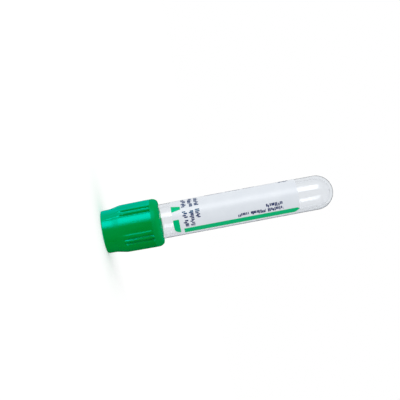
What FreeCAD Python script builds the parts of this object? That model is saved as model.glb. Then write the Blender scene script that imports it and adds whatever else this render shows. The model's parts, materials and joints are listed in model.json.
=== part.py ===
"""Evacuated blood collection tube, 13 x 75 mm, with a ribbed safety closure, stood on the closure.

z runs up the tube's own axis, from the closure's needle end on the floor to the tube's dome, and
radii are measured from that axis. Angles round it start at the front, -Y, where the middle of the
label is, and grow towards +X. All sizes are in millimetres and degrees.
"""
import FreeCAD, Part
import math
import os

# Driving sizes of the tube
TUBE_LENGTH = 75.0
RIM_Z = 10.3
RIM_RADIUS = 6.35
DOME_RADIUS = 6.3
WALL = 1.0
RIM_ROUNDING = 0.25
GATE_RADIUS = 1.0
GATE_NUB_RADIUS = 0.45
GATE_DEPTH = 0.25

# Driving sizes of the closure's green shield
SHIELD_LENGTH = 21.1
END_RADIUS = 7.88
NECK_RADIUS = 7.96
SHOULDER_RADIUS = 8.7
RIB_RADIUS = 8.84
BAND_RADIUS = 8.86
BAND_LENGTH = 2.9
LIP_LENGTH = 1.4
LIP_RADIUS = 7.95
SHOULDER_FROM = 3.4
SHOULDER_TO = 6.9
SHOULDER_ROUNDING = 7.0
END_ROUNDING = 0.6
SKIRT_ROUNDING = 2.4
LIP_ROUNDING = 1.1
PORT_RADIUS = 3.9
PORT_ROUNDING = 0.35
END_WALL = 1.7
CROWN_BORE = 6.7
SKIRT_BORE = 7.25
BEAD_RADIUS = 6.8

# Grip: groups of three ribs with two grooves between them, and smooth panels between the groups
RIB_GROUPS = 5
FIRST_GROUP_ANGLE = 49.2
GROOVE_OFFSET = 6.0
GROOVE_RADIUS = 0.55
GROOVE_FLOOR_RADIUS = 7.95
PANEL_RADIUS = 8.66
GROUP_HALF_ANGLE = 17.0

# Rubber stopper
STOPPER_PLAY = 0.05
PLUG_CLEARANCE = 0.06
PLUG_DEPTH = 7.8
PLUG_LEAD = 0.8
DISH_RADIUS = 3.6
DISH_DEPTH = 1.5
CAVITY_RADIUS = 3.2
CAVITY_DEPTH = 4.4

# Paper label and its print
LABEL_FROM = 25.7
LABEL_LENGTH = 46.1
LABEL_HALF_ANGLE = 73.0
PAPER = 0.12
INK = 0.05
STENCIL_MARGIN = 2.0

# Values that follow from the driving sizes
TIP_Z = RIM_Z + TUBE_LENGTH
DOME_CENTRE_Z = TIP_Z - DOME_RADIUS
BAND_FROM = SHIELD_LENGTH - BAND_LENGTH
LABEL_TO = LABEL_FROM + LABEL_LENGTH
PRINT_RADIUS = (RIM_RADIUS + DOME_RADIUS) / 2 + PAPER + INK

ORIGIN = FreeCAD.Vector(0, 0, 0)
X_AXIS = FreeCAD.Vector(1, 0, 0)
Z_AXIS = FreeCAD.Vector(0, 0, 1)


def wall_radius(z):
    """Outer radius of the tube at z: tapered from the rim to the label's end, then straight."""
    share = min((z - RIM_Z) / (LABEL_TO - RIM_Z), 1.0)
    return RIM_RADIUS + (DOME_RADIUS - RIM_RADIUS) * share


def at(z, radius):
    """A point in front of the axis, in the plane of the outlines."""
    return FreeCAD.Vector(0, -radius, z)


def line(start, end):
    """A straight edge."""
    return Part.LineSegment(start, end).toShape()


def quarter_round(centre_z, radius):
    """The edge of a dome on the axis, from its widest point up to its tip."""
    middle = at(centre_z + radius * math.sin(math.pi / 4), radius * math.cos(math.pi / 4))
    return Part.Arc(at(centre_z, radius), middle, at(centre_z + radius, 0)).toShape()


def outline(corners):
    """A flat face from corners (z, radius), or (z, radius, rounding) where the corner is rounded."""
    points = [at(corner[0], corner[1]) for corner in corners]
    roundings = [corner[2] if len(corner) > 2 else 0.0 for corner in corners]
    edges = []
    starts = []
    ends = []
    for index, corner in enumerate(points):
        back = (points[index - 1] - corner).normalize()
        ahead = (points[(index + 1) % len(points)] - corner).normalize()
        rounding = roundings[index]
        if rounding == 0.0:
            starts.append(corner)
            ends.append(corner)
            continue
        half_angle = back.getAngle(ahead) / 2
        reach = rounding / math.tan(half_angle)
        bisector = (back + ahead).normalize()
        centre = corner + bisector * (rounding / math.sin(half_angle))
        starts.append(corner + back * reach)
        ends.append(corner + ahead * reach)
        edges.append(Part.Arc(starts[-1], centre - bisector * rounding, ends[-1]).toShape())
    for index in range(len(points)):
        if ends[index - 1].distanceToPoint(starts[index]) > 1e-6:
            edges.append(line(ends[index - 1], starts[index]))
    return Part.Face(Part.Wire(Part.__sortEdges__(edges)))


def turned(face, angle=360.0):
    """The solid that a face sweeps round the axis."""
    return face.revolve(ORIGIN, Z_AXIS, angle)


def turned_to(shape, angle):
    """A copy of a shape, turned round the axis to an angle."""
    moved = shape.copy()
    moved.rotate(ORIGIN, Z_AXIS, angle)
    return moved


def make_tube():
    """Clear moulded tube: open rim, slightly tapered wall, round bottom with its gate mark."""
    bore_rim = RIM_RADIUS - WALL
    bore_dome = DOME_RADIUS - WALL
    edges = [
        line(at(RIM_Z, bore_rim), at(RIM_Z, RIM_RADIUS)),
        line(at(RIM_Z, RIM_RADIUS), at(LABEL_TO, DOME_RADIUS)),
        line(at(LABEL_TO, DOME_RADIUS), at(DOME_CENTRE_Z, DOME_RADIUS)),
        quarter_round(DOME_CENTRE_Z, DOME_RADIUS),
        line(at(TIP_Z, 0), at(TIP_Z - WALL, 0)),
        quarter_round(DOME_CENTRE_Z, bore_dome),
        line(at(DOME_CENTRE_Z, bore_dome), at(LABEL_TO, bore_dome)),
        line(at(LABEL_TO, bore_dome), at(RIM_Z, bore_rim)),
    ]
    tube = turned(Part.Face(Part.Wire(Part.__sortEdges__(edges))))
    rim_edges = [edge for edge in tube.Edges if abs(edge.BoundBox.ZMax - RIM_Z) < 1e-6]
    tube = tube.makeFillet(RIM_ROUNDING, rim_edges)
    gate_ring = outline([
        (TIP_Z - GATE_DEPTH, GATE_NUB_RADIUS),
        (TIP_Z - GATE_DEPTH, GATE_RADIUS),
        (TIP_Z + GATE_DEPTH, GATE_RADIUS),
        (TIP_Z + GATE_DEPTH, GATE_NUB_RADIUS),
    ])
    return tube.cut(turned(gate_ring))


def groove_cutters():
    """Round-bottomed grooves, two in each group, that run out over the shoulder."""
    rod = Part.makeCylinder(
        GROOVE_RADIUS,
        BAND_FROM - END_WALL,
        at(END_WALL, GROOVE_FLOOR_RADIUS + GROOVE_RADIUS),
        Z_AXIS,
    )
    cutters = []
    for group in range(RIB_GROUPS):
        group_angle = FIRST_GROUP_ANGLE + group * 360.0 / RIB_GROUPS
        for side in (-1, 1):
            cutters.append(turned_to(rod, group_angle + side * GROOVE_OFFSET))
    return cutters


def panel_cutters():
    """Shallow reliefs that leave each group of ribs standing a little above the smooth panels."""
    pitch = 360.0 / RIB_GROUPS
    slab = turned(
        outline([
            (END_WALL, PANEL_RADIUS),
            (BAND_FROM, PANEL_RADIUS),
            (BAND_FROM, PANEL_RADIUS + WALL),
            (END_WALL, PANEL_RADIUS + WALL),
        ]),
        pitch - 2 * GROUP_HALF_ANGLE,
    )
    first_angle = FIRST_GROUP_ANGLE + GROUP_HALF_ANGLE
    return [turned_to(slab, first_angle + group * pitch) for group in range(RIB_GROUPS)]


def make_shield():
    """Green plastic shield: end wall with the needle port, shoulder, grip ribs and open skirt."""
    section = outline([
        (0, PORT_RADIUS, PORT_ROUNDING),
        (0, END_RADIUS, END_ROUNDING),
        (SHOULDER_FROM, NECK_RADIUS, SHOULDER_ROUNDING),
        (SHOULDER_TO, SHOULDER_RADIUS, SHOULDER_ROUNDING),
        (BAND_FROM, RIB_RADIUS),
        (BAND_FROM, BAND_RADIUS),
        (SHIELD_LENGTH - LIP_LENGTH, BAND_RADIUS, SKIRT_ROUNDING),
        (SHIELD_LENGTH, LIP_RADIUS, LIP_ROUNDING),
        (SHIELD_LENGTH, SKIRT_BORE),
        (RIM_Z + 1.4, SKIRT_BORE),
        (RIM_Z + 0.9, BEAD_RADIUS),
        (RIM_Z + 0.4, BEAD_RADIUS),
        (RIM_Z + 0.1, SKIRT_BORE),
        (SHOULDER_TO, SKIRT_BORE),
        (SHOULDER_TO - 0.8, CROWN_BORE),
        (END_WALL, CROWN_BORE),
        (END_WALL, PORT_RADIUS),
    ])
    cutters = groove_cutters() + panel_cutters()
    return turned(section).cut(Part.makeCompound(cutters))


def make_stopper():
    """One-piece rubber stopper: dished top, flange over the tube's rim, plug with a hollow end."""
    bore = RIM_RADIUS - WALL
    plug_end = RIM_Z + PLUG_DEPTH
    plug_tip_radius = wall_radius(plug_end) - WALL - PLUG_CLEARANCE
    section = outline([
        (END_WALL + DISH_DEPTH, 0),
        (END_WALL + DISH_DEPTH, DISH_RADIUS - 0.9, 1.2),
        (END_WALL, DISH_RADIUS),
        (END_WALL, CROWN_BORE - STOPPER_PLAY),
        (SHOULDER_TO - 0.8, CROWN_BORE - STOPPER_PLAY),
        (SHOULDER_TO, SKIRT_BORE - STOPPER_PLAY),
        (RIM_Z, SKIRT_BORE - STOPPER_PLAY),
        (RIM_Z, bore - PLUG_CLEARANCE),
        (plug_end - PLUG_LEAD, plug_tip_radius),
        (plug_end, plug_tip_radius - 0.5),
        (plug_end, CAVITY_RADIUS),
        (plug_end - CAVITY_DEPTH, CAVITY_RADIUS - 0.3, 1.0),
        (plug_end - CAVITY_DEPTH, 0),
    ])
    return turned(section)


def wrapped(z_from, z_to, angle_from, angle_to, lift, thickness):
    """A patch of sheet bent round the tube's wall, a lift above it."""
    section = outline([
        (z_from, wall_radius(z_from) + lift),
        (z_to, wall_radius(z_to) + lift),
        (z_to, wall_radius(z_to) + lift + thickness),
        (z_from, wall_radius(z_from) + lift + thickness),
    ])
    return turned_to(turned(section, angle_to - angle_from), angle_from)


def printed(z_from, z_to, angle_from, angle_to):
    """A plain field of ink on the label."""
    return wrapped(z_from, z_to, angle_from, angle_to, PAPER, INK)


def stencilled(corners):
    """A field of ink with its own outline, from corners (z, angle) or (z, angle, rounding)."""
    heights = [corner[0] for corner in corners]
    angles = [corner[1] for corner in corners]
    middle = (min(angles) + max(angles)) / 2
    flat = []
    for corner in corners:
        across = PRINT_RADIUS * math.sin(math.radians(middle - corner[1]))
        flat.append((corner[0], across) + tuple(corner[2:]))
    stencil = outline(flat).extrude(X_AXIS * (2 * PRINT_RADIUS))
    stencil = turned_to(stencil, middle - 90)
    ink = printed(
        min(heights) - STENCIL_MARGIN,
        max(heights) + STENCIL_MARGIN,
        min(angles) - STENCIL_MARGIN,
        max(angles) + STENCIL_MARGIN,
    )
    return ink.common(stencil)


def make_label():
    """White paper label. It goes two fifths of the way round and leaves the back clear."""
    return wrapped(LABEL_FROM, LABEL_TO, -LABEL_HALF_ANGLE, LABEL_HALF_ANGLE, 0.0, PAPER)


def make_green_print():
    """Green fields: the stripe along one edge, the fill mark's block and its pointer."""
    stripe_from = LABEL_FROM + 3.5
    stripe = stencilled([
        (stripe_from, 53.4),
        (LABEL_TO - 0.9, 53.4),
        (LABEL_TO - 0.1, 59.0),
        (LABEL_TO - 1.9, LABEL_HALF_ANGLE),
        (stripe_from, LABEL_HALF_ANGLE),
    ])
    block = stencilled([
        (LABEL_FROM, 19.0),
        (LABEL_FROM + 2.2, 19.0),
        (LABEL_FROM + 2.2, 66.0),
        (LABEL_FROM, 66.0, 2.1),
    ])
    pointer = stencilled([
        (LABEL_FROM, -29.6),
        (LABEL_FROM, -7.1),
        (LABEL_FROM + 3.3, -13.2),
        (LABEL_FROM + 3.3, -23.6),
    ])
    return Part.makeCompound([stripe, block, pointer])


def bars_round(z_from, height, stops):
    """A row of plain bars that runs round the tube, from pairs of angles."""
    return [printed(z_from, z_from + height, low, high) for low, high in stops]


def bars_along(angle_from, angle_to, stops):
    """A row of plain bars that runs along the tube, from pairs of heights."""
    return [printed(low, high, angle_from, angle_to) for low, high in stops]


def make_dark_print():
    """Dark fields in place of the small print: three rows round the tube and short rows along it."""
    bars = bars_round(29.45, 1.75, [(-62, -19), (-4, 18), (25, 48)])
    bars += bars_round(31.9, 1.6, [(-63, -17), (-3, 48)])
    bars += bars_round(34.2, 1.6, [(-58, -18), (-5, 24)])
    bars += bars_along(40.0, 47.0, [(49.2, 53.1), (53.9, 59.3), (60.1, 65.7)])
    bars += bars_along(22.5, 30.5, [(59.7, 65.7)])
    bars += bars_along(-69.0, -62.0, [(38.6, 45.2), (46.2, 51.6), (52.6, 57.0)])
    bars += bars_along(-66.0, -54.0, [(65.8, 69.4)])
    return Part.makeCompound(bars)


def main():
    pieces = {
        "tube": make_tube(),
        "stopper": make_stopper(),
        "shield": make_shield(),
        "label": make_label(),
        "label_green_print": make_green_print(),
        "label_dark_print": make_dark_print(),
    }
    os.makedirs("parts", exist_ok=True)
    for name, shape in pieces.items():
        shape.exportStep(f"parts/{name}.step")
        print(name, "volume", round(shape.Volume, 2), "valid", shape.isValid())


main()
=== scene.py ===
import json
import math
import random

import bmesh
import bpy
from mathutils import Matrix, Vector


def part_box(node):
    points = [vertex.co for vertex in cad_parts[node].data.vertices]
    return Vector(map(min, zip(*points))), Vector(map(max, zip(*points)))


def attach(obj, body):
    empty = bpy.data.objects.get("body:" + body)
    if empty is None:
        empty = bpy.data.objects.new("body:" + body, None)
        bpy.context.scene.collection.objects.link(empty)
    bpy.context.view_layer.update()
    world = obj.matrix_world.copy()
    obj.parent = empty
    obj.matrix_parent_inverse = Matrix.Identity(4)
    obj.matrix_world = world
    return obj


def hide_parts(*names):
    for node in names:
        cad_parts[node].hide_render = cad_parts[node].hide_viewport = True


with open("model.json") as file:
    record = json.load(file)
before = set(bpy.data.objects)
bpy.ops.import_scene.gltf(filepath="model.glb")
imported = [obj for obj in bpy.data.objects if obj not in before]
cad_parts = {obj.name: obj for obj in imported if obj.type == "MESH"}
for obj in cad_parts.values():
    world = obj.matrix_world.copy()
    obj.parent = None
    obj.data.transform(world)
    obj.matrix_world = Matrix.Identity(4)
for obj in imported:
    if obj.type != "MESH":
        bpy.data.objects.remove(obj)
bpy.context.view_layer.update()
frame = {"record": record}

# The object's sizes are in millimetres and its angles in degrees, as on a maker's drawing, and MM
# turns a size into the frame's metres. z runs up the tube's axis from the closure's needle end, on
# the floor, to the round bottom. Angles round the axis start at the front, -Y, where the middle of
# the label is, and grow towards +X. Colours are linear red, green and blue.
MM = 0.001


def mount_radius(name):
    """The radius that the record gives for a round mount."""
    found = [entry for entry in frame["record"]["mounts"] if entry["name"] == name]
    return found[0]["dims"]["r_mm"]


def span(node):
    """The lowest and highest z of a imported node."""
    low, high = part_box(node)
    return low[2] / MM, high[2] / MM


# the tube
RIM_Z, TIP_Z = span("tube")
WALL = 1.0
RIM_RADIUS = 6.35
RIM_BORE = RIM_RADIUS - WALL
RIM_ROUNDING = 0.25
DOME_RADIUS = mount_radius("rack_seat")
DOME_BORE = DOME_RADIUS - WALL
DOME_CENTRE_Z = TIP_Z - DOME_RADIUS
GATE_RADIUS = 1.0
GATE_DEPTH = 0.2
GATE_DRAFT = 0.1
NUB_RADIUS = 0.45
NUB_DEPTH = 0.05
NUB_DRAFT = 0.08

# the shield
SHIELD_LENGTH = span("shield")[1]
BAND_RADIUS = mount_radius("holder_seat")
BAND_FROM = SHIELD_LENGTH - 2.9
PORT_RADIUS = mount_radius("needle_port")
END_RADIUS = 7.88
NECK_RADIUS = 7.96
SHOULDER_FROM = 3.4
SHOULDER_TO = 6.9
SHOULDER_RADIUS = 8.7
RIB_RADIUS = 8.84
SHOULDER_ROUNDING = 7.0
BAND_CHAMFER = 0.2
BAND_ROUNDING = 2.4
LIP_LENGTH = 1.4
LIP_RADIUS = 7.95
LIP_ROUNDING = 1.1
END_WALL = 1.7
END_RING_RADIUS = 5.0
CROWN_BORE = 6.7
CROWN_TO = SHOULDER_TO - 0.8
SKIRT_BORE = 7.25
BEAD_RADIUS = 6.8
BEAD_FOOT, BEAD_FROM, BEAD_TO, BEAD_END = (RIM_Z + up for up in (0.1, 0.4, 0.9, 1.4))

# the shield's grip: what is outside OUTER_SKIN is pressed; pairs are where a change starts and ends
OUTER_SKIN = END_RADIUS - 0.3
GRIP_FROM = 2.0
GRIP_END = (BAND_FROM - 0.45, BAND_FROM)
RIB_GROUPS = 5
FIRST_GROUP_ANGLE = 49.2
GROUP_RISE = (-20.0, -13.5)
GROUP_FALL = (30.0, 52.0)
RIB_RISE = 0.06
PANEL_DEPTH = 0.32
PANEL_START = (4.0, 9.0)
GROOVE_OFFSET = 6.0
GROOVE_START = (6.0, 9.0)
GROOVE_RADIUS = 0.55
GROOVE_FLARE = 3.0
GROOVE_LIP = 0.18
LEFT_GROOVE_FLOOR = 8.2
RIGHT_GROOVE_FLOOR = 8.02

# the stopper
PLAY = 0.05
DISH_RADIUS = 3.6
DISH_DEPTH = 1.5
DISH_DRAFT = 0.9
PLUG_END = span("stopper")[1]
PLUG_CLEARANCE = 0.06
PLUG_LEAD_LENGTH = 0.8
PLUG_LEAD_DEPTH = 0.5
CAVITY_RADIUS = 3.2
CAVITY_DEPTH = 4.4
CAVITY_DRAFT = 0.3

# the label and its print
LABEL_FROM, LABEL_TO = span("label")
LABEL_HALF_ANGLE = 73.0
LABEL_ROUNDING = 0.8
PAPER = 0.12
INK = 0.02
PRINT_RADIUS = (RIM_RADIUS + DOME_RADIUS) / 2 + PAPER
PRINT_MARGIN = 0.02
STRIPE_GAP = 3.5
STRIPE_ANGLE = 53.4
BLOCK_LENGTH = 2.2
BLOCK_ANGLES = (19.0, 66.0)
BLOCK_ROUNDING = 2.1
POINTER_LENGTH = 3.3
POINTER_FOOT_ANGLES = (-29.6, -7.1)
POINTER_TIP_ANGLES = (-23.6, -13.2)

# Small print as plain strokes. Rows round the tube: z, height, pitch, and each word's two angles.
ROWS_ROUND = [
    (29.45, 1.75, 0.62, [(-62, -19), (-4, 18), (25, 48)]),
    (31.9, 1.6, 0.55, [(-63, -17), (-3, 48)]),
    (34.2, 1.6, 0.58, [(-58, -18), (-5, 24)]),
]
# Rows along the tube: the two angles they stand between, pitch, and each word's start and end z.
ROWS_ALONG = [
    (36.5, 48.5, 0.6, [(49.2, 53.1), (53.9, 59.3), (60.1, 65.7)]),
    (21.5, 34.0, 0.62, [(59.7, 65.7)]),
    (-69.0, -62.0, 0.42, [(38.6, 45.2), (46.2, 51.6), (52.6, 57.0)]),
    (-66.0, -54.0, 0.38, [(65.8, 69.4)]),
]
PRINT_SEED = 13
STROKE_WIDTHS = (0.62, 0.85)
STROKE_STEPS = (0.85, 1.15)
STROKE_HEIGHTS = [(0.0, 1.0), (0.0, 0.7), (0.3, 1.0), (0.0, 0.72), (0.28, 1.0)]

# how finely the meshes are drawn
ARC_STEP = 9.0
DOME_STEP = 4.0
BEND_STEP = 0.35
SHARP_ANGLE = 35.0
ON_AXIS = 1e-6


def round_axis(z, radius, angle):
    """The point at a height, a radius and an angle, in the frame's metres."""
    turn = math.radians(angle)
    return Vector((radius * math.sin(turn), -radius * math.cos(turn), z)) * MM


# ---------------------------------------------------------------- shader expressions

class Socket:
    """What a node gives out. Arithmetic on it adds Math nodes, so a mask reads as a formula."""

    def __init__(self, finish, socket):
        self.finish = finish
        self.socket = socket

    def math(self, operation, *others):
        values = dict(enumerate((self, *others)))
        return self.finish.node("ShaderNodeMath", {"operation": operation}, values)

    def __add__(self, other):
        return self.math("ADD", other)

    def __radd__(self, other):
        return self.math("ADD", other)

    def __sub__(self, other):
        return self.math("SUBTRACT", other)

    def __rsub__(self, other):
        return self.finish.node("ShaderNodeMath", {"operation": "SUBTRACT"}, {0: other, 1: self})

    def __mul__(self, other):
        return self.math("MULTIPLY", other)

    def __rmul__(self, other):
        return self.math("MULTIPLY", other)

    def above(self, low, high):
        """0 below low, 1 above high, and a smooth step between."""
        return self.finish.node(
            "ShaderNodeMapRange",
            {"interpolation_type": "SMOOTHSTEP"},
            {"Value": self, "From Min": low, "From Max": high},
        )


class Finish:
    """A material while its nodes are being laid out."""

    def __init__(self, name, tree=None):
        if tree is None:
            self.material = bpy.data.materials.new(name)
            self.material.use_nodes = True
            tree = self.material.node_tree
        self.tree = tree
        self.tree.nodes.clear()

    def node(self, kind, settings=None, values=None, output=0):
        """Any node: its settings first, then what its sockets hold. Gives one of its outputs."""
        made = self.tree.nodes.new(kind)
        for name, value in (settings or {}).items():
            setattr(made, name, value)
        for name, value in (values or {}).items():
            socket = made.inputs[name]
            if isinstance(value, Socket):
                self.tree.links.new(value.socket, socket)
            else:
                socket.default_value = (*value, 1) if socket.type == "RGBA" else value
        return Socket(self, made.outputs[output]) if made.outputs else None

    def place(self):
        """The piece's own coordinates, in metres, which move with it."""
        return self.node("ShaderNodeTexCoord", output="Object")

    def from_axis(self):
        """How far a point is from the tube's axis, in millimetres."""
        flat = self.node(
            "ShaderNodeVectorMath",
            {"operation": "MULTIPLY"},
            {0: self.place(), 1: (1 / MM, 1 / MM, 0)},
        )
        return self.node("ShaderNodeVectorMath", {"operation": "LENGTH"}, {0: flat}, "Value")

    def noise(self, grain_mm, detail=3.0, drawn_out=1):
        """Soft random mottling about grain_mm across, and so many times longer up the axis."""
        where = self.node(
            "ShaderNodeMapping", {}, {"Vector": self.place(), "Scale": (1, 1, 1 / drawn_out)}
        )
        return self.node(
            "ShaderNodeTexNoise",
            {},
            {"Vector": where, "Scale": 1 / (grain_mm * MM), "Detail": detail},
        )

    def mix(self, share, first, second):
        """A colour on the way from the first colour to the second."""
        return self.node(
            "ShaderNodeMix", {"data_type": "RGBA"}, {0: share, 6: first, 7: second}, output=2
        )

    def bump(self, height, depth_mm):
        """A surface normal pressed by a height from 0 to 1 that stands for a depth."""
        return self.node(
            "ShaderNodeBump", {}, {"Height": height, "Distance": depth_mm * MM, "Strength": 1.0}
        )

    def glance(self):
        """0 where the surface faces the eye, rising to 1 where one looks along it."""
        return self.node("ShaderNodeLayerWeight", output="Facing")

    def background_seen(self):
        """1 for what is seen, straight, in a gloss or through something clear, and 0 for light."""
        straight, in_gloss, through = (
            self.node("ShaderNodeLightPath", output=f"Is {kind} Ray")
            for kind in ("Camera", "Glossy", "Transmission")
        )
        return straight.math("MAXIMUM", in_gloss).math("MAXIMUM", through)

    def principled(self, **values):
        """The principled shader; its socket names are written with underscores."""
        named = {name.replace("_", " "): value for name, value in values.items()}
        return self.node("ShaderNodeBsdfPrincipled", {}, named)

    def done(self, surface, volume=None):
        """Joins the shaders to the output and gives the finished material."""
        inside = {"Volume": volume} if volume else {}
        self.node("ShaderNodeOutputMaterial", {}, {"Surface": surface} | inside)
        return self.material


def green_plastic():
    """Satin moulded plastic: green under a blue-green gloss that strengthens at a glance.

    The band at the open end is duller. The bore is painted a paler green, painted light for light
    coming through the wall.
    """
    finish = Finish("green_plastic")
    flow = finish.noise(grain_mm=3.0, detail=2.0, drawn_out=4)
    pressed = finish.bump(finish.noise(grain_mm=0.12, detail=2.0), depth_mm=0.006)
    height = finish.node("ShaderNodeSeparateXYZ", {}, {0: finish.place()}, "Z")
    rim_band = height.above((BAND_FROM - 0.2) * MM, (BAND_FROM + 0.3) * MM)
    # painted light: nearer the axis than the skirt's bore the green is painted paler, standing in
    # for light that comes through the wall
    outside = finish.from_axis().above(SKIRT_BORE + 0.05, SKIRT_BORE + 0.2)
    even = finish.mix(flow.above(0.3, 0.7), (0.0, 0.3, 0.004), (0.0, 0.335, 0.011))
    skin = finish.mix(rim_band, even, (0.0, 0.31, 0.028))
    satin = 0.24 + 0.08 * flow + 0.15 * rim_band
    body = finish.principled(
        Base_Color=finish.mix(outside, (0.0, 0.7, 0.25), skin),
        Roughness=satin,
        Specular_IOR_Level=0.0,
        Normal=pressed,
    )
    gloss = finish.node(
        "ShaderNodeBsdfAnisotropic",
        {},
        {"Color": (0.0, 0.87, 1.0), "Roughness": satin, "Normal": pressed},
    )
    glance = finish.glance()
    share = (0.13 + 0.5 * glance * glance) * (1 - 0.65 * rim_band)
    return finish.done(finish.node("ShaderNodeMixShader", {}, {0: share, 1: body, 2: gloss}))


def dark_rubber():
    """Matte butyl rubber with a dry, powdery skin."""
    finish = Finish("dark_rubber")
    bloom = finish.noise(grain_mm=0.8)
    return finish.done(finish.principled(
        Base_Color=finish.mix(bloom.above(0.35, 0.75), (0.004, 0.07, 0.042), (0.008, 0.105, 0.065)),
        Roughness=0.5 + 0.2 * bloom,
        Normal=finish.bump(finish.noise(grain_mm=0.07, detail=2.0), depth_mm=0.02),
    ))


def clear_plastic():
    """Clear polyester: polished, with the slightest ripple, and painted greyer where one looks
    along it: painted shade at its edges.
    """
    finish = Finish("clear_plastic")
    ripple = finish.noise(grain_mm=2.5, detail=1.0, drawn_out=6)
    haze = finish.noise(grain_mm=1.2)
    glance = finish.glance()
    polished = finish.principled(
        # painted shade: the colour turns grey towards the edges, standing in for the darker
        # surroundings seen in the wall there
        Base_Color=finish.mix(glance * glance * glance, (0.95, 0.955, 0.96), (0.46, 0.49, 0.52)),
        Transmission_Weight=1.0,
        IOR=1.5,
        Roughness=0.06 + 0.05 * haze.above(0.35, 0.8),
        Normal=finish.bump(ripple, depth_mm=0.004),
    )
    depth = finish.node(
        "ShaderNodeVolumeAbsorption", {}, {"Color": (0.35, 0.48, 0.64), "Density": 100.0}
    )
    return finish.done(polished, depth)


def label_paper():
    """Smooth coated label paper: a cool white with faint fibres."""
    finish = Finish("label_paper")
    fibres = finish.noise(grain_mm=0.25, detail=4.0, drawn_out=3)
    cloud = finish.noise(grain_mm=6.0, detail=2.0)
    return finish.done(finish.principled(
        Base_Color=finish.mix(cloud.above(0.3, 0.7), (0.755, 0.8, 0.86), (0.785, 0.83, 0.885)),
        Roughness=0.3 + 0.1 * fibres,
        Normal=finish.bump(fibres, depth_mm=0.004),
    ))


def ink(name, thin, full):
    """Printed ink, a little thinner where the paper's grain takes less of it."""
    finish = Finish(name)
    mottle = finish.noise(grain_mm=0.3, detail=4.0)
    return finish.done(finish.principled(
        Base_Color=finish.mix(mottle.above(0.25, 0.6), thin, full),
        Roughness=0.28 + 0.1 * mottle,
        Specular_Tint=(0.0, 0.9, 1.0),
    ))


# ---------------------------------------------------------------- mesh helpers

def rounded(corners):
    """Points along an outline whose corners are (x, y) or (x, y, rounding), going round."""
    points = []
    for index, corner in enumerate(corners):
        here = Vector(corner[:2])
        rounding = corner[2] if len(corner) > 2 else 0.0
        if rounding == 0.0:
            points.append(here)
            continue
        back = (Vector(corners[index - 1][:2]) - here).normalized()
        ahead = (Vector(corners[(index + 1) % len(corners)][:2]) - here).normalized()
        half = back.angle(ahead) / 2
        bisector = (back + ahead).normalized()
        centre = here + bisector * (rounding / math.sin(half))
        first = here + back * (rounding / math.tan(half)) - centre
        last = here + ahead * (rounding / math.tan(half)) - centre
        sweep = math.atan2(first.cross(last), first.dot(last))
        count = max(2, math.ceil(abs(math.degrees(sweep)) / ARC_STEP))
        for part in range(count + 1):
            points.append(centre + Matrix.Rotation(sweep * part / count, 2) @ first)
    return points


def dome(centre_z, radius):
    """A quarter round from the axis back to the wall, as (z, radius) points."""
    count = math.ceil(90 / DOME_STEP)
    turns = [math.pi / 2 * part / count for part in range(count + 1)]
    return [Vector((centre_z + radius * math.cos(t), radius * math.sin(t))) for t in turns]


def stretches(points, longest):
    """The same line with points added wherever two stand further apart than longest."""
    filled = [points[0]]
    for start, end in zip(points, points[1:]):
        count = max(1, math.ceil((end - start).length / longest))
        filled += [start.lerp(end, part / count) for part in range(1, count + 1)]
    return filled


def band(low, high):
    """Faces between two rings of points; a ring of one point is a pole."""
    faces = []
    for index in range(max(len(low), len(high))):
        corners = [
            low[index % len(low)],
            low[(index + 1) % len(low)],
            high[(index + 1) % len(high)],
            high[index % len(high)],
        ]
        faces.append(tuple(dict.fromkeys(corners)))
    return faces


def finished(name, shape, material, body, node):
    """A smooth closed piece in the frame that rides on a body and stands for a CAD node."""
    points, faces = shape
    mesh = bpy.data.meshes.new(name)
    mesh.from_pydata(points, [], faces)
    work = bmesh.new()
    work.from_mesh(mesh)
    bmesh.ops.recalc_face_normals(work, faces=work.faces)
    work.to_mesh(mesh)
    work.free()
    mesh.shade_smooth()
    mesh.set_sharp_from_angle(angle=math.radians(SHARP_ANGLE))
    mesh.materials.append(material)
    piece = bpy.data.objects.new(name, mesh)
    bpy.context.scene.collection.objects.link(piece)
    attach(piece, body)
    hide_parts(node)
    return piece


def lathe(profile, segments, closed, relief=None):
    """Points and faces turned round the axis; relief(z, radius, angle) may press a pattern in."""
    points = []
    rings = []
    for z, radius in profile:
        count = 1 if radius < ON_AXIS else segments
        rings.append(list(range(len(points), len(points) + count)))
        for index in range(count):
            angle = 360.0 * index / count
            there = relief(z, radius, angle) if relief else radius
            points.append(round_axis(z, there, angle))
    following = rings[1:] + (rings[:1] if closed else [])
    faces = [face for low, high in zip(rings, following) for face in band(low, high)]
    return points, faces


# ---------------------------------------------------------------- the tube

def wall_radius(z):
    """Outer radius of the tube: tapered from the rim to the label's end, then straight."""
    share = min((z - RIM_Z) / (LABEL_TO - RIM_Z), 1.0)
    return RIM_RADIUS + (DOME_RADIUS - RIM_RADIUS) * share


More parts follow.
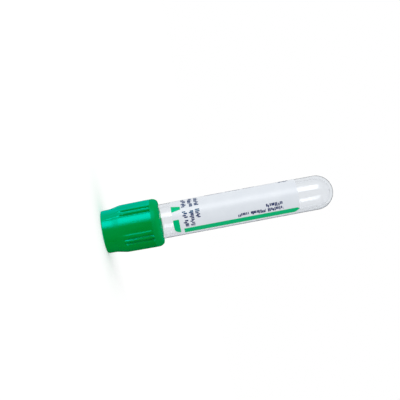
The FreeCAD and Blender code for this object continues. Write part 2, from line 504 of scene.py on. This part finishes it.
def make_tube():
    """Clear tube: round bottom with its gate mark, thin wall, rounded rim."""
    nub_z = TIP_Z - NUB_DEPTH
    gate_z = TIP_Z - GATE_DEPTH
    gate_lip_z = DOME_CENTRE_Z + math.sqrt(DOME_RADIUS ** 2 - GATE_RADIUS ** 2)
    outside = dome(DOME_CENTRE_Z, DOME_RADIUS)
    outside = [point for point in outside if point.y > GATE_RADIUS + GATE_DRAFT]
    gate = rounded([
        (nub_z, 0),
        (nub_z, NUB_RADIUS, 0.08),
        (gate_z, NUB_RADIUS + NUB_DRAFT, 0.06),
        (gate_z, GATE_RADIUS - GATE_DRAFT, 0.08),
        (gate_lip_z, GATE_RADIUS, 0.05),
        tuple(outside[0]),
    ])[:-1]
    rim = rounded([
        (LABEL_FROM, RIM_RADIUS),
        (RIM_Z, RIM_RADIUS, RIM_ROUNDING),
        (RIM_Z, RIM_BORE, RIM_ROUNDING),
        (LABEL_FROM, RIM_BORE),
    ])[1:-1]
    taper_end = [Vector((LABEL_TO, DOME_RADIUS))]
    taper_end_inside = [Vector((LABEL_TO, DOME_BORE))]
    inside = dome(DOME_CENTRE_Z, DOME_BORE)[::-1]
    profile = gate + outside + taper_end + rim + taper_end_inside + inside
    shape = lathe(stretches(profile, longest=6.0), segments=192, closed=False)
    tube = finished("clear_tube", shape, clear_plastic(), "tube_body", "tube")
    # so clear that light reaches the label's back and the stopper as if it weren't there
    tube.visible_shadow = False
    tube.visible_diffuse = False


# ---------------------------------------------------------------- the closure

def smooth_step(low, high, value):
    """0 below low, 1 above high, and a smooth step between."""
    share = min(1.0, max(0.0, (value - low) / (high - low)))
    return share * share * (3 - 2 * share)


def smooth_least(first, second, blend):
    """The lesser of two numbers, with the corner between them rounded over a blend."""
    share = max(0.0, blend - abs(first - second)) / blend
    return min(first, second) - share * share * blend / 4


def grip(z, radius, angle):
    """Presses the panels between the rib groups, and each group's two grooves, into the skin."""
    if radius < OUTER_SKIN or not GRIP_FROM < z < BAND_FROM:
        return radius
    pitch = 360.0 / RIB_GROUPS
    from_group = (angle - FIRST_GROUP_ANGLE - GROUP_RISE[0]) % pitch + GROUP_RISE[0]
    rise = smooth_step(*GROUP_RISE, from_group) * (1 - smooth_step(*GROUP_FALL, from_group))
    relief = RIB_RISE * rise - PANEL_DEPTH * (1 - rise)
    skin = radius + relief * smooth_step(*PANEL_START, z)
    deepest = LEFT_GROOVE_FLOOR if from_group < 0 else RIGHT_GROOVE_FLOOR
    floor = radius - (radius - deepest) * smooth_step(*GROOVE_START, z)
    aside = math.radians(abs(abs(from_group) - GROOVE_OFFSET)) * RIB_RADIUS
    if aside < GROOVE_RADIUS:
        groove = floor + GROOVE_RADIUS - math.sqrt(GROOVE_RADIUS ** 2 - aside ** 2)
    else:
        groove = floor + GROOVE_RADIUS + GROOVE_FLARE * (aside - GROOVE_RADIUS)
    pressed = smooth_least(skin, groove, GROOVE_LIP)
    return pressed + (radius - pressed) * smooth_step(*GRIP_END, z)


def make_shield():
    """Green shield: needle port, shoulder, grip ribs, plain band, and the bead inside its skirt."""
    outline = rounded([
        (0, END_RING_RADIUS),
        (0, END_RADIUS, 0.6),
        (SHOULDER_FROM, NECK_RADIUS, SHOULDER_ROUNDING),
        (SHOULDER_TO, SHOULDER_RADIUS, SHOULDER_ROUNDING),
        (BAND_FROM, RIB_RADIUS),
        (BAND_FROM + BAND_CHAMFER, BAND_RADIUS),
        (SHIELD_LENGTH - LIP_LENGTH, BAND_RADIUS, BAND_ROUNDING),
        (SHIELD_LENGTH, LIP_RADIUS, LIP_ROUNDING),
        (SHIELD_LENGTH, SKIRT_BORE, 0.08),
        (BEAD_END, SKIRT_BORE, 0.2),
        (BEAD_TO, BEAD_RADIUS, 0.15),
        (BEAD_FROM, BEAD_RADIUS, 0.15),
        (BEAD_FOOT, SKIRT_BORE),
        (SHOULDER_TO, SKIRT_BORE, 0.4),
        (CROWN_TO, CROWN_BORE, 0.4),
        (END_WALL, CROWN_BORE, 0.2),
        (END_WALL, PORT_RADIUS, 0.15),
        (0, PORT_RADIUS, 0.35),
    ])
    profile = stretches(outline + outline[:1], longest=0.35)[:-1]
    shape = lathe(profile, segments=540, closed=True, relief=grip)
    finished("green_shield", shape, green_plastic(), "closure", "shield")


def make_stopper():
    """Rubber stopper: dished top, flange over the rim, plug with a hollow end."""
    plug_tip_radius = wall_radius(PLUG_END) - WALL - PLUG_CLEARANCE
    profile = rounded([
        (END_WALL + DISH_DEPTH, 0),
        (END_WALL + DISH_DEPTH, DISH_RADIUS - DISH_DRAFT, 1.2),
        (END_WALL, DISH_RADIUS, 0.15),
        (END_WALL, CROWN_BORE - PLAY, 0.1),
        (CROWN_TO, CROWN_BORE - PLAY),
        (SHOULDER_TO, SKIRT_BORE - PLAY),
        (RIM_Z, SKIRT_BORE - PLAY, 0.1),
        (RIM_Z, RIM_BORE - PLUG_CLEARANCE, 0.1),
        (PLUG_END - PLUG_LEAD_LENGTH, plug_tip_radius, 1.0),
        (PLUG_END, plug_tip_radius - PLUG_LEAD_DEPTH, 0.3),
        (PLUG_END, CAVITY_RADIUS, 0.3),
        (PLUG_END - CAVITY_DEPTH, CAVITY_RADIUS - CAVITY_DRAFT, 1.0),
        (PLUG_END - CAVITY_DEPTH, 0),
    ])
    shape = lathe(stretches(profile, longest=1.0), segments=128, closed=False)
    finished("rubber_stopper", shape, dark_rubber(), "closure", "stopper")


# ---------------------------------------------------------------- the label and its print

def arc(angle):
    """How far round the label an angle is, in millimetres."""
    return math.radians(angle) * PRINT_RADIUS


def wrapped(outlines, lift, thickness):
    """Thin closed shells bent round the tube's wall, from outlines of (z, millimetres round)."""
    points = []
    faces = []
    for outline in outlines:
        work = bmesh.new()
        work.faces.new([work.verts.new((z, y, 0)) for z, y in outline])
        low = min(y for z, y in outline)
        high = max(y for z, y in outline)
        for cut in range(1, math.ceil((high - low) / BEND_STEP)):
            bmesh.ops.bisect_plane(
                work,
                geom=work.verts[:] + work.edges[:] + work.faces[:],
                plane_co=(0, low + cut * BEND_STEP, 0),
                plane_no=(0, 1, 0),
            )
        top = bmesh.ops.extrude_face_region(work, geom=work.faces[:], use_keep_orig=True)["geom"]
        for vertex in [item for item in top if isinstance(item, bmesh.types.BMVert)]:
            vertex.co.z = 1
        # the cuts leave points and faces in any order, so both are sorted to come out alike
        ordered = sorted(work.verts, key=lambda vertex: tuple(vertex.co))
        for number, vertex in enumerate(ordered, start=len(points)):
            vertex.index = number
            radius = wall_radius(vertex.co.x) + lift + thickness * vertex.co.z
            points.append(round_axis(vertex.co.x, radius, math.degrees(vertex.co.y / PRINT_RADIUS)))
        faces += sorted([vertex.index for vertex in face.verts] for face in work.faces)
        work.free()
    return points, faces


def make_label():
    """White paper over the tube's front, with softly rounded corners."""
    edge = arc(LABEL_HALF_ANGLE)
    outline = rounded([
        (LABEL_FROM, -edge, LABEL_ROUNDING),
        (LABEL_TO, -edge, LABEL_ROUNDING),
        (LABEL_TO, edge, LABEL_ROUNDING),
        (LABEL_FROM, edge, LABEL_ROUNDING),
    ])
    shape = wrapped([outline], lift=0.0, thickness=PAPER)
    finished("paper_label", shape, label_paper(), "tube_body", "label")


def make_green_print():
    """Green fields: the stripe along one edge, the fill mark's block and its pointer."""
    stripe_from = LABEL_FROM + STRIPE_GAP
    side = arc(STRIPE_ANGLE)
    edge = arc(LABEL_HALF_ANGLE) - PRINT_MARGIN
    stripe = rounded([
        (stripe_from, side),
        (LABEL_TO - 0.9, side, 0.5),
        (LABEL_TO - 0.1, arc(59.0), 0.2),
        (LABEL_TO - 1.9, edge, 0.5),
        (stripe_from, edge),
    ])
    block_to = LABEL_FROM + BLOCK_LENGTH
    left, right = map(arc, BLOCK_ANGLES)
    block = rounded([
        (LABEL_FROM, left), (block_to, left), (block_to, right), (LABEL_FROM, right, BLOCK_ROUNDING)
    ])
    tip = LABEL_FROM + POINTER_LENGTH
    foot_left, foot_right = map(arc, POINTER_FOOT_ANGLES)
    tip_left, tip_right = map(arc, POINTER_TIP_ANGLES)
    pointer = rounded([
        (LABEL_FROM, foot_left), (LABEL_FROM, foot_right), (tip, tip_right), (tip, tip_left)
    ])
    shape = wrapped([stripe, block, pointer], lift=PAPER, thickness=INK)
    material = ink("green_ink", thin=(0.0, 0.55, 0.21), full=(0.0, 0.49, 0.17))
    finished("label_green_ink", shape, material, "tube_body", "label_green_print")


def rectangle(z_from, z_to, round_from, round_to):
    """An outline of four corners, (z, millimetres round)."""
    return [
        Vector((z_from, round_from)),
        Vector((z_to, round_from)),
        Vector((z_to, round_to)),
        Vector((z_from, round_to)),
    ]


def strokes(start, end, pitch, foot, height, draw):
    """A word's thin uneven strokes: (from, to) along the row and (low, high) across it, each."""
    word = []
    place = start
    while place < end:
        width = pitch * draw.uniform(*STROKE_WIDTHS)
        low, high = draw.choice(STROKE_HEIGHTS)
        across = (foot + height * low, foot + height * high)
        word.append(((place, min(place + width, end)), across))
        place += pitch * draw.uniform(*STROKE_STEPS)
    return word


def make_dark_print():
    """Plain navy strokes in place of the small print: rows round the tube and rows along it."""
    draw = random.Random(PRINT_SEED)
    outlines = []
    for foot, height, pitch, words in ROWS_ROUND:
        for first, last in words:
            for along, across in strokes(arc(first), arc(last), pitch, foot, height, draw):
                outlines.append(rectangle(*across, *along))
    for first, last, pitch, words in ROWS_ALONG:
        foot = arc(first)
        height = arc(last) - foot
        for start, end in words:
            for along, across in strokes(start, end, pitch, foot, height, draw):
                outlines.append(rectangle(*along, *across))
    shape = wrapped(outlines, lift=PAPER, thickness=INK)
    material = ink("navy_ink", thin=(0.05, 0.045, 0.19), full=(0.022, 0.02, 0.115))
    finished("label_dark_ink", shape, material, "tube_body", "label_dark_print")


# ---------------------------------------------------------------- stage, light and camera

# Lengths from here on are in metres.
CAMERA_PLACE = Vector((0.075316, -0.281084, 0.0374))
CAMERA_AIM = Vector((-0.005016, -0.001344, 0.036665))
CAMERA_ROLL = 79.3764
CAMERA_LENS = 71.1463

SKY = 0.87
FLOOR_REACH = 6.0
FLOOR_WHITE = 0.95
FLOOR_GLOW = 1.01 - FLOOR_WHITE * SKY

LAMP_ANGLE = -27.0
LAMP_DISTANCE = 0.6
SOFTBOX_SIDE = 0.3
SOFTBOX_Z = 0.25
SOFTBOX_LIGHT = 0.15
STRIP_WIDTH = 0.35
STRIP_HEIGHT = 0.6
STRIP_Z = -0.06
STRIP_RADIANCE = 2.9

CARD_FROM = -8.0
CARD_TO = 220.0
CARD_STEPS = 24
CARD_RADIUS = 0.55
CARD_LOW = -0.9
CARD_HIGH = 0.45


def make_camera():
    """Beside the tube, rolled so that the tube lies across the picture, its round end raised."""
    data = bpy.data.cameras.new("camera")
    data.lens = CAMERA_LENS
    data.sensor_width = 36.0
    data.clip_start = 0.01
    camera = bpy.data.objects.new("camera", data)
    look = (CAMERA_AIM - CAMERA_PLACE).to_track_quat("-Z", "Y").to_matrix().to_4x4()
    roll = Matrix.Rotation(math.radians(CAMERA_ROLL), 4, "Z")
    camera.matrix_world = Matrix.Translation(CAMERA_PLACE) @ look @ roll
    bpy.context.scene.collection.objects.link(camera)
    bpy.context.scene.camera = camera


def stage_sheet(name, shape, material):
    """A plain sheet of the studio, which isn't part of the object."""
    mesh = bpy.data.meshes.new(name)
    mesh.from_pydata(shape[0], [], shape[1])
    mesh.materials.append(material)
    sheet = bpy.data.objects.new(name, mesh)
    sheet.visible_diffuse = False
    sheet.visible_shadow = False
    bpy.context.scene.collection.objects.link(sheet)
    return sheet


def make_floor():
    """A wide pale sheet under the closure, white to the eye, that keeps the object's shadow."""
    finish = Finish("white_sweep")
    matte = finish.node("ShaderNodeBsdfDiffuse", {}, {"Color": (FLOOR_WHITE,) * 3})
    glow = finish.node(
        "ShaderNodeEmission",
        {},
        {"Color": (1, 1, 1), "Strength": FLOOR_GLOW * finish.background_seen()},
    )
    material = finish.done(finish.node("ShaderNodeAddShader", {}, {0: matte, 1: glow}))
    sides = ((-1, -1), (1, -1), (1, 1), (-1, 1))
    corners = [(FLOOR_REACH * x, FLOOR_REACH * y, 0) for x, y in sides]
    floor = stage_sheet("floor", (corners, [(0, 1, 2, 3)]), material)
    floor.visible_glossy = False
    floor.visible_transmission = False


def make_dark_card():
    """A bent dark card, from the front round the right to the back, seen only in gloss."""
    finish = Finish("dark_card")
    matte = finish.node("ShaderNodeBsdfDiffuse", {}, {"Color": (0.03, 0.03, 0.03)})
    points = []
    for index in range(CARD_STEPS + 1):
        angle = CARD_FROM + (CARD_TO - CARD_FROM) * index / CARD_STEPS
        for z in (CARD_LOW, CARD_HIGH):
            points.append(round_axis(z / MM, CARD_RADIUS / MM, angle))
    faces = [(2 * i, 2 * i + 2, 2 * i + 3, 2 * i + 1) for i in range(CARD_STEPS)]
    card = stage_sheet("dark_card", (points, faces), finish.done(matte))
    card.visible_camera = False
    card.visible_transmission = False


def area_lamp(name, width, height, z, radiance):
    """A flat lamp at the front left, aimed at the tube's foot, or level where it hangs lower."""
    data = bpy.data.lights.new(name, "AREA")
    data.shape = "RECTANGLE"
    data.size = width
    data.size_y = height
    data.energy = radiance * math.pi * width * height
    lamp = bpy.data.objects.new(name, data)
    away = round_axis(0, LAMP_DISTANCE / MM, LAMP_ANGLE)
    facing = (-away - Vector((0, 0, max(z, 0)))).to_track_quat("-Z", "Y").to_matrix().to_4x4()
    lamp.matrix_world = Matrix.Translation(away + Vector((0, 0, z))) @ facing
    lamp.visible_camera = False
    bpy.context.scene.collection.objects.link(lamp)
    return lamp


def make_lights():
    """An even pale sky, white to the eye, a softbox, and a tall strip for gloss alone."""
    world = bpy.data.worlds.new("sky")
    bpy.context.scene.world = world
    world.use_nodes = True
    sky = Finish("sky", world.node_tree)
    strength = SKY + (1 - SKY) * sky.background_seen()
    light = sky.node("ShaderNodeBackground", {}, {"Color": (1, 1, 1), "Strength": strength})
    sky.node("ShaderNodeOutputWorld", {}, {"Surface": light})
    radiance = SOFTBOX_LIGHT * math.pi * LAMP_DISTANCE ** 2 / SOFTBOX_SIDE ** 2
    softbox = area_lamp("softbox", SOFTBOX_SIDE, SOFTBOX_SIDE, SOFTBOX_Z, radiance)
    softbox.visible_glossy = False
    strip = area_lamp("strip", STRIP_WIDTH, STRIP_HEIGHT, STRIP_Z, STRIP_RADIANCE)
    strip.visible_diffuse = False


make_camera()
make_tube()
make_shield()
make_stopper()
make_label()
make_green_print()
make_dark_print()
make_floor()
make_dark_card()
make_lights()
bpy.context.scene.view_settings.view_transform = "Standard"
